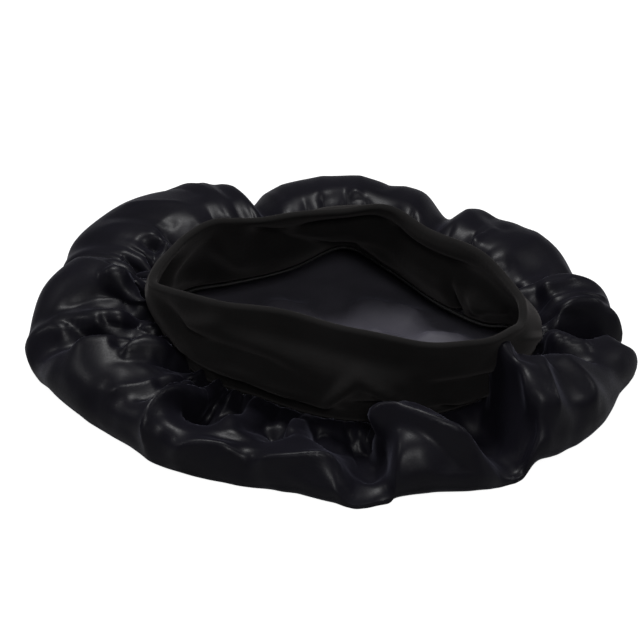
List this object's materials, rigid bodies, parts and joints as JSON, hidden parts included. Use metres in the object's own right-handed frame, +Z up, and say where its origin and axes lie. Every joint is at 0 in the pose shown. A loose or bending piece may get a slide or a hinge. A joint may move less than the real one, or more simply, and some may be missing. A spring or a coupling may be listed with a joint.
{
  "type": "sleep bonnet",
  "caption": "Puffy satin hair bonnet gathered by an overlocked seam into a wide soft double-layer headband, lying crown down with its opening up.",
  "frame": {"origin": "on the surface the bonnet lies on, under the middle of its bounding box", "axes": "+Z up, out of the opening; +X along the longest extent; -Y towards the side where the headband stands lowest in the crown"},
  "size_m": [0.3428, 0.3224, 0.0765],
  "materials": {
    "satin": "soft gloss satin",
    "jersey": "matte stretch knit",
    "thread": "spun thread, matte"
  },
  "bodies": {
    "root": {"crown": "satin", "headband": "jersey", "gather_seam": "thread"}
  },
  "joints": []
}
